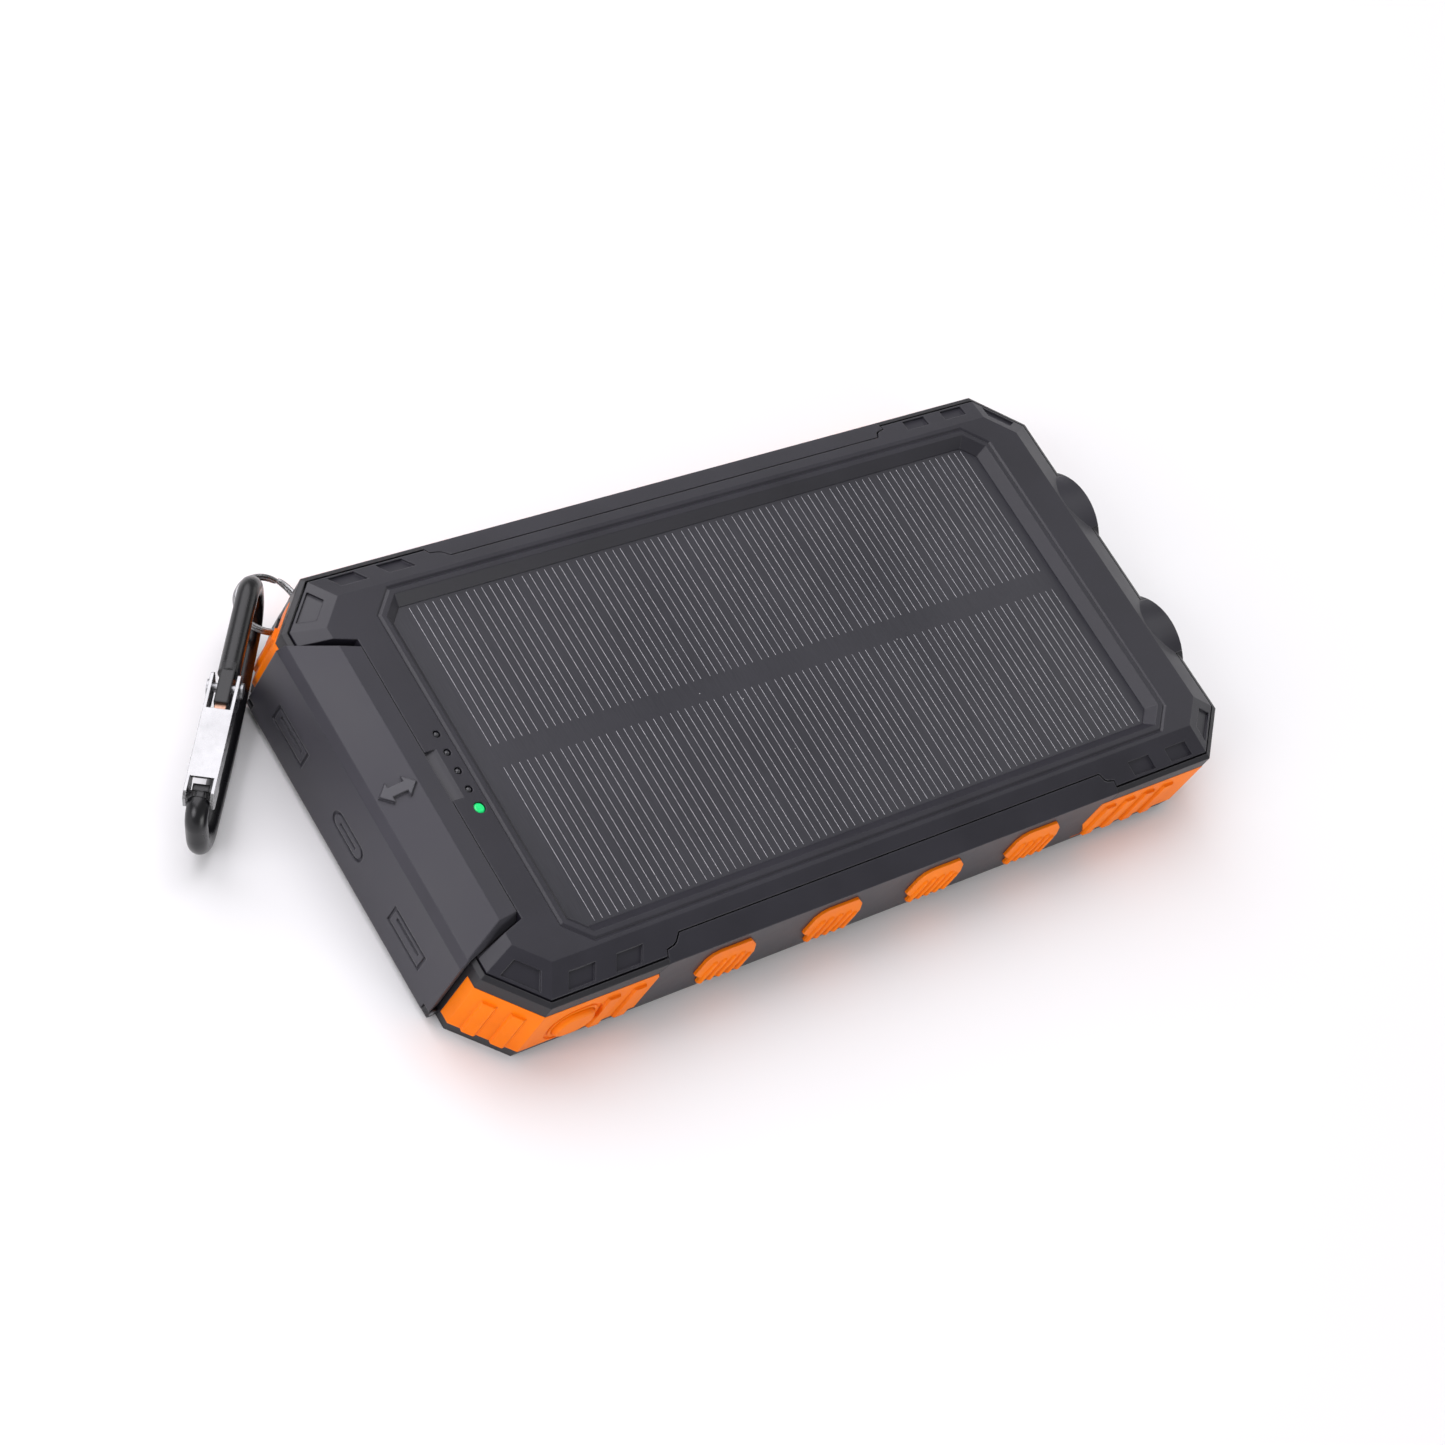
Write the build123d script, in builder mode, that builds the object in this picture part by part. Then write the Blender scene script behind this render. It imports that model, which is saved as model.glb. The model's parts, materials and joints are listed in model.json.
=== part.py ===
from build123d import *
import os
from math import cos, radians, sin, sqrt

# Solar phone charger: a long eight-sided case with a solar window on top, a soft port
# cover on the left end (-X), two torches on the right end (+X), orange corner bumpers
# and grips, and a small carabiner on a split ring at the back left corner.
# Millimetres. +X runs along the case, +Z is up, the origin is the bottom's centre.

# ---------------------------------------------------------------- case outline
HALF_X = 75.0          # rim line, half length
HALF_Y = 36.6          # rim line, half width
CORNER_LEG = 7.24      # leg of the 45 degree corner at the rim line
LEG_GROWTH = 2 - sqrt(2)   # growth of that leg per mm of outward offset

TOP_Z = 18.0           # flat top
RIM_Z = 15.7           # rim line
RIDGE_Z = 15.3         # where the rim turns into the wall
SKIRT_Z = 2.4          # where the wall starts to lean in
TOP_OUT = -4.79        # offset of the top's edge from the rim line
WALL_OUT = 0.8         # offset of the wall
FOOT_OUT = 0.3         # offset of the bottom's edge
WALL_Y = HALF_Y + WALL_OUT
WALL_X = HALF_X + WALL_OUT

INNER_OUT = -1.4       # inside of the wall
SEAT_OUT = -0.4        # back of the recesses that the bumpers and rails sit in
FLOOR_Z = 1.8
LEDGE_Z = 14.6         # ledge under the top frame
FRAME_OUT = -0.30      # outer edge of the top frame
FIT = 0.06             # gap round inserted pieces

# ---------------------------------------------------------------- solar window
WINDOW_X = 1.1         # window centre
WINDOW_STRETCH = 31.5  # half length minus half width
WINDOW_LEG = 2.2       # corner cut at the glass
GLASS_HALF = 28.1
SLOPE_HALF = 29.7      # top of the sloping bezel
GROOVE_IN = 30.5
GROOVE_OUT = 31.2
GLASS_Z = 16.3
LAMINATE = 0.8
BACKING = 0.9
LAMINATE_HALF = 29.25
POCKET_HALF = 29.4

# ---------------------------------------------------------------- bumpers and rails
BUMPER_LOW = SKIRT_Z
BUMPER_HIGH = 12.9
BUMPER_OUT = 0.85
BUMPER_INNER_X = 46.7  # inner ends on the long sides
FRONT_TAB_Y = 27.75    # the left bumpers end here, beside the port cover
LANYARD_CUT = 2.6      # length of chamfer past its middle on the back left bumper
RIB_PITCH = 4.5
RIB_HIGH = 10.8
RIB_PROUD = 0.45
RIB_SECTION = [(-1.2, -0.1), (-0.9, -RIB_PROUD), (0.9, -RIB_PROUD), (1.2, -0.1), (1.2, 0.1),
               (0.9, RIB_PROUD), (-0.9, RIB_PROUD), (-1.2, 0.1)]
SEAM_DOWN = 2.3        # seam line, measured down the slope from the top's edge
GRIP_X = (-32.3, -11.0, 10.3, 31.6)
GRIP_PROUD = 0.8
GRIP_SET_IN = 0.5
TOOTH = 0.62           # half width of a finger
TOOTH_PITCH = 1.8
TOOTH_COUNT = 5
TOOTH_FROM = 4.35      # first finger, right of the grip's middle
FINGER_ROOT_Z = 5.2
FINGER_TIP_Z = 3.9
FLUTE_R = 0.54
FLUTE_Y = -WALL_Y - 0.3
FLUTE_RAISE = 0.35

# ---------------------------------------------------------------- port cover
HINGE_X = -76.85
HINGE_Z = 1.6
COVER_FACE = -77.8     # outer face
COVER_BACK = -75.95    # inner face
COVER_BARREL = 0.9
COVER_CREST = (-70.4, 18.8)
COVER_SHOULDER = (-76.9, 16.8)
COVER_EDGE = (-66.7, 18.02)
COVER_HALF = 27.1      # half width at the shoulder
COVER_NARROWING = 0.314
HOOK_Z = 15.8
COVER_SEAT_Z = 15.65   # recess in the frame under the hook
PIN_R = 0.45
RUNNING_FIT = 0.05
LUG_FROM = 26.0
LUG_TO = 27.4

# ---------------------------------------------------------------- torches
TORCH_Y = 13.0
TORCH_Z = 8.2
TORCH_END = 76.4
BULGE_START = 66.0
BULGE_R = (9.75, 9.3)
BORE_R = 7.6
LENS_R = 7.1

# ---------------------------------------------------------------- lanyard
POST = (-67.80, 36.33)
POST_R = 1.0
RING_Z = 8.0
RING_R = 4.85           # middle of the wire
WIRE_R = 0.35
RING_CENTRE = (-70.45, 38.46)
NOTCH_LOW = 6.2
NOTCH_HIGH = 9.9
NOTCH_R = 5.55
CORNER_FILL = 99.4     # the corner is solid where y - x is more than this

# carabiner: u runs along it from the ring end, v from the gate to the spine
CLIP_ORIGIN = (-72.78, 42.18, 13.50)
CLIP_YAW = radians(230.7)
CLIP_PITCH = radians(-1.68)
CLIP_ROLL = radians(20.08)
ROD_R = 1.6
CLIP_LENGTH = 45.8
CLIP_DEPTH = 11.9
CLIP_SHOULDER = 9.2
PIVOT_U = 22.3
GATE_TIP = 42.5
NOSE_U = 39.5
GATE_HALF = 2.15       # half width of the stamped gate
SHEET = 0.45           # its sheet thickness

# ---------------------------------------------------------------- inside
BOARD_X = (-73.2, -54.5)
BOARD_HALF_Y = 32.0
BOARD_Z = 3.9
BOARD_THICK = 1.2
BOARD_TOP = BOARD_Z + BOARD_THICK
USB_A_Y = 17.5
USB_A_Z = 8.0
USB_A_SIZE = (14.0, 13.1, 5.7)
USB_C_Z = BOARD_TOP + 1.7
USB_C_SIZE = (7.4, 9.0, 3.3)
PORT_FACE = -75.2
CELL_SIZE = (105.0, 33.4, 9.4)
CELL_X = 3.5
CELL_LOW = 2.7
LIGHT_X = -63.1
LIGHT_PITCH = 3.2
LIGHT_R = 0.5
POWER_LIGHT_R = 0.9
SCREWS = [(-52.2, -32.9), (-52.2, 32.9), (59.8, -32.9), (59.8, 32.9)]
SCREW_HEAD_Z = 6.0
SCREW_SPLIT_Z = 8.0
BUTTON_X = -60.2
BUTTON_Z = 6.8


# ================================================================ helpers
def eight_sided(half_x, half_y, leg, centre_x=0.0):
    """Corner points of a rectangle with 45 degree corners."""
    x, y = half_x, half_y
    points = [(x - leg, -y), (x, leg - y), (x, y - leg), (x - leg, y)]
    points += [(leg - x, y), (-x, y - leg), (-x, leg - y), (leg - x, -y)]
    return [(centre_x + px, py) for px, py in points]


def outline(points, plane):
    """Closed polygon on a plane."""
    with BuildSketch(plane) as face:
        Polygon(*points, align=None)
    return face.sketch


def case_face(out, z):
    """Case outline, offset outward from the rim line."""
    leg = CORNER_LEG + LEG_GROWTH * out
    return outline(eight_sided(HALF_X + out, HALF_Y + out, leg), Plane.XY.offset(z))


def window_face(half, z):
    """Solar window outline of a given half width."""
    leg = WINDOW_LEG + LEG_GROWTH * (half - GLASS_HALF)
    points = eight_sided(half + WINDOW_STRETCH, half, leg, WINDOW_X)
    return outline(points, Plane.XY.offset(z))


def bevel_z(out):
    """Height of the sloping edge at an offset from the rim line."""
    return TOP_Z + (TOP_OUT - out) * (TOP_Z - RIM_Z) / -TOP_OUT


def down_slope(distance):
    """Half width of the case at a distance down the slope from the top's edge."""
    return HALF_Y + TOP_OUT + 0.902 * distance


def block(low, high, mode=Mode.ADD):
    """Box between two opposite corners."""
    middle = [(a + b) / 2 for a, b in zip(low, high)]
    with Locations(tuple(middle)):
        Box(*[b - a for a, b in zip(low, high)], mode=mode)


def rod(start, end, radius, mode=Mode.ADD):
    """Cylinder from one point to another."""
    along = Vector(*end) - Vector(*start)
    with BuildSketch(Plane(origin=start, z_dir=along)) as disc:
        Circle(radius)
    extrude(disc.sketch, amount=along.length, mode=mode)


def tube(points, radii, radius):
    """Round wire along straight runs joined by arcs."""
    with BuildPart() as wire:
        with BuildLine() as route:
            FilletPolyline(*points, radius=radii)
        with BuildSketch(Plane(origin=route.line @ 0, z_dir=route.line % 0)):
            Circle(radius)
        sweep()
    return wire.part


def turned(profile, centre_y):
    """Solid of revolution about a torch's axis from (x, radius) points."""
    with BuildPart() as piece:
        with BuildSketch(Plane.XY):
            Polygon(*profile, align=None)
        revolve(axis=Axis.X)
    return Pos(0, centre_y, TORCH_Z) * piece.part


def finish(piece, name):
    """Label one sub-part and write it."""
    piece.part.label = name
    export_step(piece.part, "parts/" + name + ".step")


os.makedirs("parts", exist_ok=True)

# ================================================================ shared forms
# Whole outer form of the case, with the two torch bulges.
with BuildPart() as case_form:
    levels = [(FOOT_OUT, 0.0), (WALL_OUT, SKIRT_Z), (WALL_OUT, RIDGE_Z)]
    levels += [(0.0, RIM_Z), (TOP_OUT, TOP_Z)]
    for (low_out, low_z), (high_out, high_z) in zip(levels, levels[1:]):
        loft([case_face(low_out, low_z), case_face(high_out, high_z)], ruled=True)

with BuildPart() as bulge_form:
    for side in (-1, 1):
        with BuildSketch(Plane.YZ.offset(BULGE_START)) as inner_disc:
            with Locations((side * TORCH_Y, TORCH_Z)):
                Circle(BULGE_R[0])
        with BuildSketch(Plane.YZ.offset(TORCH_END)) as outer_disc:
            with Locations((side * TORCH_Y, TORCH_Z)):
                Circle(BULGE_R[1])
        loft([inner_disc.sketch, outer_disc.sketch])
    block((BULGE_START, -30, 0.6), (TORCH_END, 30, TOP_Z), Mode.INTERSECT)

with BuildPart() as torch_bores:
    for side in (-1, 1):
        rod((62.5, side * TORCH_Y, TORCH_Z), (TORCH_END + 1, side * TORCH_Y, TORCH_Z), BORE_R)


def rail_plan(grow):
    """Plan of a side rail's upper flange on the front, with its stepped seam."""
    steps = [(46.5, 5.15), (46.3, 4.1), (44.9, 3.8), (44.4, 3.5), (43.5, SEAM_DOWN)]
    right = [(x + grow, grow - down_slope(down)) for x, down in steps]
    left = [(-x, y) for x, y in reversed(right)]
    outer = [(-46.5 - grow, -WALL_Y - 3), (46.5 + grow, -WALL_Y - 3)]
    return outline(outer + right + left, Plane.XY.offset(LEDGE_Z))


def rail_wall(grow):
    """Side view of a rail's wall on the front, as a sketch at the wall's seat."""
    with BuildSketch(Plane.XZ.offset(HALF_Y + SEAT_OUT)) as face:
        Polygon(
            (-46.5, RIDGE_Z + 0.2), (-47.6, 13.2), (-BUMPER_INNER_X, 11.7),
            (-BUMPER_INNER_X, SKIRT_Z + FIT), (BUMPER_INNER_X, SKIRT_Z + FIT),
            (BUMPER_INNER_X, 3.4), (44.5, 6.5), (44.5, BUMPER_HIGH + FIT),
            (46.5, BUMPER_HIGH + FIT), (46.5, RIDGE_Z + 0.2), align=None,
        )
        offset(amount=grow, kind=Kind.INTERSECTION)
    return face.sketch


def rail_space(grow):
    """Space that the front side rail takes up."""
    with BuildPart() as space:
        extrude(rail_wall(grow), amount=3)
        extrude(rail_plan(grow), amount=TOP_Z)
    return space.part


def bumper_ring(outer):
    """Ring of the wall at bumper height, from the seat to an outer offset."""
    with BuildPart() as ring:
        extrude(case_face(outer, BUMPER_LOW), amount=BUMPER_HIGH - BUMPER_LOW)
        extrude(
            case_face(SEAT_OUT, BUMPER_LOW), amount=BUMPER_HIGH - BUMPER_LOW, mode=Mode.SUBTRACT
        )
    return ring.part


def beyond_chamfer_middle(length):
    """Back left region more than a length past the chamfer's middle."""
    middle = (-(WALL_X + HALF_X + WALL_OUT - 7.71) / 2, WALL_Y - 7.71 / 2)
    start = (middle[0] + length / sqrt(2), middle[1] + length / sqrt(2))
    corner = Plane(origin=(start[0], start[1], 0), x_dir=(1, 1, 0), z_dir=(0, 0, 1))
    with BuildPart() as region:
        with BuildSketch(corner):
            Rectangle(60, 8, align=(Align.MIN, Align.CENTER))
        extrude(amount=TOP_Z)
    return region.part


# Each bumper's share of the ring: x from, x to, y from, y to.
BUMPER_ZONES = {
    "bumper_front_left": (-80, -BUMPER_INNER_X, -42, -FRONT_TAB_Y),
    "bumper_front_right": (44.5, 80, -42, -26.5),
    "bumper_back_left": (-80, -BUMPER_INNER_X, FRONT_TAB_Y, 42),
    "bumper_back_right": (44.5, 80, 26.5, 42),
}

# Space for the ring to swing round its post, away from the port cover.
with BuildPart() as lanyard_notch:
    arm = Vector(RING_CENTRE[0] - POST[0], RING_CENTRE[1] - POST[1])
    for swing in (-32, -16, 1):
        centre = Vector(*POST) + arm.rotate(Axis.Z, swing)
        rod((centre.X, centre.Y, NOTCH_LOW), (centre.X, centre.Y, NOTCH_HIGH), NOTCH_R)


def bumper_space(name):
    """Recess in the wall for one bumper."""
    x0, x1, y0, y1 = BUMPER_ZONES[name]
    with BuildPart() as space:
        add(bumper_ring(WALL_OUT + 2))
        block((x0, y0, 0), (x1, y1, TOP_Z), Mode.INTERSECT)
        if name == "bumper_back_left":
            add(beyond_chamfer_middle(LANYARD_CUT), mode=Mode.SUBTRACT)
    return space.part


# ================================================================ bottom shell
with BuildPart() as bottom_shell:
    for (low_out, low_z), (high_out, high_z) in zip(levels[:3], levels[1:4]):
        loft([case_face(low_out, low_z), case_face(high_out, high_z)], ruled=True)
    add(bulge_form.part)
    extrude(case_face(INNER_OUT, FLOOR_Z), amount=LEDGE_Z - FLOOR_Z, mode=Mode.SUBTRACT)
    extrude(case_face(0.0, LEDGE_Z), amount=TOP_Z, mode=Mode.SUBTRACT)
    # torch bulges stop under the frame
    block((BULGE_START, -30, RIM_Z), (TORCH_END + 1, 30, TOP_Z + 1), Mode.SUBTRACT)
    # solid back left corner round the lanyard post
    with BuildSketch(Plane.XY.offset(FLOOR_Z)) as corner_fill:
        Polygon(*eight_sided(HALF_X - 1, HALF_Y - 1, 6.65), align=None)
        Polygon((-80, CORNER_FILL - 80), (-50, CORNER_FILL - 50), (-80, 50), align=None,
                mode=Mode.INTERSECT)
    extrude(corner_fill.sketch, amount=LEDGE_Z - FLOOR_Z, mode=Mode.ADD)
    # seats of the bumpers and rails
    for bumper in BUMPER_ZONES:
        add(bumper_space(bumper), mode=Mode.SUBTRACT)
    add(rail_space(0.0), mode=Mode.SUBTRACT)
    add(mirror(rail_space(0.0), about=Plane.XZ, mode=Mode.PRIVATE), mode=Mode.SUBTRACT)
    # lanyard notch
    add(lanyard_notch.part, mode=Mode.SUBTRACT)
    rod((*POST, 4.0), (*POST, 11.0), POST_R, Mode.SUBTRACT)
    # port openings
    for side in (-1, 1):
        block((-80, side * USB_A_Y - 6.75, USB_A_Z - 3.05),
              (-73, side * USB_A_Y + 6.75, USB_A_Z + 3.05), Mode.SUBTRACT)
    block((-80, -4.7, USB_C_Z - 1.85), (-73, 4.7, USB_C_Z + 1.85), Mode.SUBTRACT)
    # passage of the power button's stem
    rod((BUTTON_X, -38, BUTTON_Z), (BUTTON_X, -34, BUTTON_Z), 1.25, Mode.SUBTRACT)
    # lugs of the port cover's hinge
    for side in (-1, 1):
        rod((HINGE_X, side * LUG_FROM, HINGE_Z), (HINGE_X, side * LUG_TO, HINGE_Z), COVER_BARREL)
        near, far = sorted((side * LUG_FROM, side * LUG_TO))
        block((HINGE_X, near, HINGE_Z - 0.6), (-75, far, HINGE_Z + 0.6))
        rod((HINGE_X, side * (LUG_FROM - 1), HINGE_Z), (HINGE_X, side * LUG_TO, HINGE_Z),
            PIN_R, Mode.SUBTRACT)
    # screw bosses, board posts, gasket groove
    for x, y in SCREWS:
        rod((x, y, 1.0), (x, y, SCREW_SPLIT_Z), 2.4)
        rod((x, y, 0), (x, y, SCREW_HEAD_Z), 2.1, Mode.SUBTRACT)
        rod((x, y, 0), (x, y, SCREW_SPLIT_Z + 1), 1.15, Mode.SUBTRACT)
    for x, y in ((-71, -26.5), (-71, 26.5), (-71, 8.5), (-71, -8.5), (-57, -27), (-57, 27)):
        rod((x, y, 1.0), (x, y, BOARD_Z), 1.6)
    extrude(case_face(-0.5, LEDGE_Z - 0.3), amount=0.3, mode=Mode.SUBTRACT)
    extrude(case_face(-1.1, LEDGE_Z - 0.3), amount=0.3)
    extrude(case_face(INNER_OUT, LEDGE_Z - 0.3), amount=0.3, mode=Mode.SUBTRACT)
    for x, y in SCREWS:
        rod((x, y, SCREW_SPLIT_Z), (x, y, LEDGE_Z), 2.25, Mode.SUBTRACT)
    add(torch_bores.part, mode=Mode.SUBTRACT)
    # shallow panel on the underside
    with BuildSketch(Plane.XY) as underside_panel:
        RectangleRounded(92, 40, 4)
    extrude(underside_panel.sketch, amount=0.4, mode=Mode.SUBTRACT)

finish(bottom_shell, "bottom_shell")

# ================================================================ top frame
# Shallow leaning pockets on the front slope; the back ones mirror them.
SLOPE = Plane(origin=(0, -HALF_Y - TOP_OUT, TOP_Z), x_dir=(1, 0, 0), z_dir=(0, -0.43, 0.902))
POCKET_DEEP = 0.4
with BuildPart() as slope_pockets:
    for side in (-1, 1):
        for x in (52.6, 61.2):
            with BuildSketch(SLOPE) as pocket:
                corners = [(x - 2.4, -2.1), (x + 2.4, -2.1), (x + 3.3, -4.6), (x - 1.5, -4.6)]
                Polygon(*[(side * px, py) for px, py in corners], align=None)
            extrude(pocket.sketch, amount=-POCKET_DEEP)
            extrude(pocket.sketch, amount=1)
    mirror(about=Plane.XZ)

# One pocket on each corner slope.
with BuildPart() as corner_pockets:
    corner_leg = CORNER_LEG + LEG_GROWTH * TOP_OUT
    corner_x = HALF_X + TOP_OUT - corner_leg / 2
    corner_y = HALF_Y + TOP_OUT - corner_leg / 2
    for side_x in (-1, 1):
        for side_y in (-1, 1):
            facing = Vector(side_x, side_y, 0).normalized() * 0.43 + Vector(0, 0, 0.902)
            along = Vector(-side_y, side_x, 0)
            corner_slope = Plane(origin=(side_x * corner_x, side_y * corner_y, TOP_Z),
                                 x_dir=along, z_dir=facing)
            with BuildSketch(corner_slope) as pocket:
                Polygon((-2.05, -1.8), (2.05, -1.8), (3.1, -4.6), (-3.1, -4.6), align=None)
            extrude(pocket.sketch, amount=-POCKET_DEEP)
            extrude(pocket.sketch, amount=1)


def cover_plan(half, z, edge=COVER_EDGE[0]):
    """Region that the port cover's hook may fill, narrowing towards the window."""
    far = half + COVER_NARROWING * 7
    near = half - COVER_NARROWING * 10.2
    points = [(-83.9, -far), (edge, -near), (edge, near), (-83.9, far)]
    return outline(points, Plane.XY.offset(z))


# Torch bulges above the rim.
with BuildPart() as upper_bulges:
    add(bulge_form.part)
    block((BULGE_START, -30, RIM_Z + 0.1), (TORCH_END, 30, TOP_Z), Mode.INTERSECT)

with BuildPart() as top_frame:
    loft([case_face(FRAME_OUT, bevel_z(FRAME_OUT)), case_face(TOP_OUT, TOP_Z)], ruled=True)
    extrude(case_face(FRAME_OUT, LEDGE_Z), amount=bevel_z(FRAME_OUT) - LEDGE_Z)
    # screw bosses
    for x, y in SCREWS:
        rod((x, y, SCREW_SPLIT_Z), (x, y, LEDGE_Z + 0.6), 2.1)
        rod((x, y, SCREW_SPLIT_Z), (x, y, 14.0), 1.1, Mode.SUBTRACT)
    add(upper_bulges.part)
    add(torch_bores.part, mode=Mode.SUBTRACT)
    # seats of the side rails
    add(rail_space(0.12), mode=Mode.SUBTRACT)
    add(mirror(rail_space(0.12), about=Plane.XZ, mode=Mode.PRIVATE), mode=Mode.SUBTRACT)
    # window: groove line, sloping bezel, pocket for the panel from below
    loft([window_face(GROOVE_OUT, TOP_Z), window_face(GROOVE_OUT - 0.35, TOP_Z - 0.25)],
         ruled=True, mode=Mode.SUBTRACT)
    loft([window_face(GROOVE_OUT - 0.35, TOP_Z - 0.25), window_face(GROOVE_IN, TOP_Z)],
         ruled=True)
    loft([window_face(GLASS_HALF, GLASS_Z), window_face(SLOPE_HALF, TOP_Z)],
         ruled=True, mode=Mode.SUBTRACT)
    extrude(window_face(GLASS_HALF, LEDGE_Z), amount=GLASS_Z - LEDGE_Z, mode=Mode.SUBTRACT)
    extrude(window_face(POCKET_HALF, LEDGE_Z), amount=GLASS_Z - LEDGE_Z, mode=Mode.SUBTRACT)
    # light holes
    for step in range(-1, 3):
        rod((LIGHT_X, step * LIGHT_PITCH, LEDGE_Z), (LIGHT_X, step * LIGHT_PITCH, TOP_Z),
            LIGHT_R + 0.1, Mode.SUBTRACT)
    rod((LIGHT_X, -2 * LIGHT_PITCH, LEDGE_Z), (LIGHT_X, -2 * LIGHT_PITCH, TOP_Z),
        POWER_LIGHT_R + 0.05, Mode.SUBTRACT)
    # seat of the cover's hook, and the scoop for a thumb at its edge
    seat = cover_plan(COVER_HALF + 0.35, COVER_SEAT_Z, COVER_EDGE[0] + 0.15)
    extrude(seat, amount=4, mode=Mode.SUBTRACT)
    scoop_z = TOP_Z + 2.4
    rod((COVER_EDGE[0], -4.2, scoop_z), (COVER_EDGE[0], 4.2, scoop_z), 3.2, Mode.SUBTRACT)
    # pockets on the slopes
    add(slope_pockets.part, mode=Mode.SUBTRACT)
    add(corner_pockets.part, mode=Mode.SUBTRACT)
finish(top_frame, "top_frame")

with BuildPart() as frame_gasket:
    extrude(case_face(-0.5, LEDGE_Z - 0.3), amount=0.3)
    extrude(case_face(-1.1, LEDGE_Z - 0.3), amount=0.3, mode=Mode.SUBTRACT)
    for sign in (-1, 1):
        block((-BUMPER_INNER_X - 1.2, sign * 37 - 1.4, 14), (BUMPER_INNER_X + 1.2, sign * 37 + 1.4, 15),
              Mode.SUBTRACT)
    block((70, -24, 14), (80, 24, 15), Mode.SUBTRACT)
finish(frame_gasket, "frame_gasket")

# ================================================================ side rails and grips


def grip_pad(x, proud):
    """One grip on the front side: a pad with fingers that reach down from it."""
    seat = WALL_Y - GRIP_SET_IN
    with BuildPart() as pad:
        with BuildSketch(Plane.XZ.offset(seat)) as face:
            corners = [(-5.6, 7.2), (-5.6, 11.4), (-4.9, 12.8), (-3.7, 13.3), (2.2, 13.3)]
            corners += [(4.2, 11.0), (5.4, 8.2), (5.35, FINGER_ROOT_Z), (-3.5, FINGER_ROOT_Z)]
            Polygon(*[(x + px, pz) for px, pz in corners], align=None)
            for tooth in range(TOOTH_COUNT):
                tooth_x = x + TOOTH_FROM - tooth * TOOTH_PITCH
                with Locations((tooth_x, FINGER_TIP_Z)):
                    Circle(TOOTH)
                with Locations((tooth_x, (FINGER_TIP_Z + FINGER_ROOT_Z) / 2)):
                    Rectangle(2 * TOOTH, FINGER_ROOT_Z - FINGER_TIP_Z + 0.4)
        extrude(face.sketch, amount=GRIP_SET_IN + proud)
    return pad.part


with BuildPart() as side_rail_front:
    add(rail_space(-FIT))
    add(case_form.part, mode=Mode.INTERSECT)
    for x in GRIP_X:
        add(grip_pad(x, 1.0), mode=Mode.SUBTRACT)
finish(side_rail_front, "side_rail_front")

with BuildPart() as side_rail_back:
    add(mirror(side_rail_front.part, about=Plane.XZ, mode=Mode.PRIVATE))
finish(side_rail_back, "side_rail_back")

with BuildPart() as grip_pads_front:
    for x in GRIP_X:
        add(grip_pad(x, GRIP_PROUD - FLUTE_RAISE))
        for tooth in range(TOOTH_COUNT):
            tooth_x = x + TOOTH_FROM - tooth * TOOTH_PITCH
            top_z = 9.3 if tooth else 7.9
            rod((tooth_x, FLUTE_Y, FINGER_TIP_Z), (tooth_x, FLUTE_Y, top_z), FLUTE_R)
            for z in (FINGER_TIP_Z, top_z):
                with Locations((tooth_x, FLUTE_Y, z)):
                    Sphere(FLUTE_R)
    # flutes stop at the bottom of the pads' seats
    block((-45, -WALL_Y + GRIP_SET_IN, 0), (45, -30, 16), Mode.SUBTRACT)
finish(grip_pads_front, "grip_pads_front")

with BuildPart() as grip_pads_back:
    add(mirror(grip_pads_front.part, about=Plane.XZ, mode=Mode.PRIVATE))
finish(grip_pads_back, "grip_pads_back")

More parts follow.
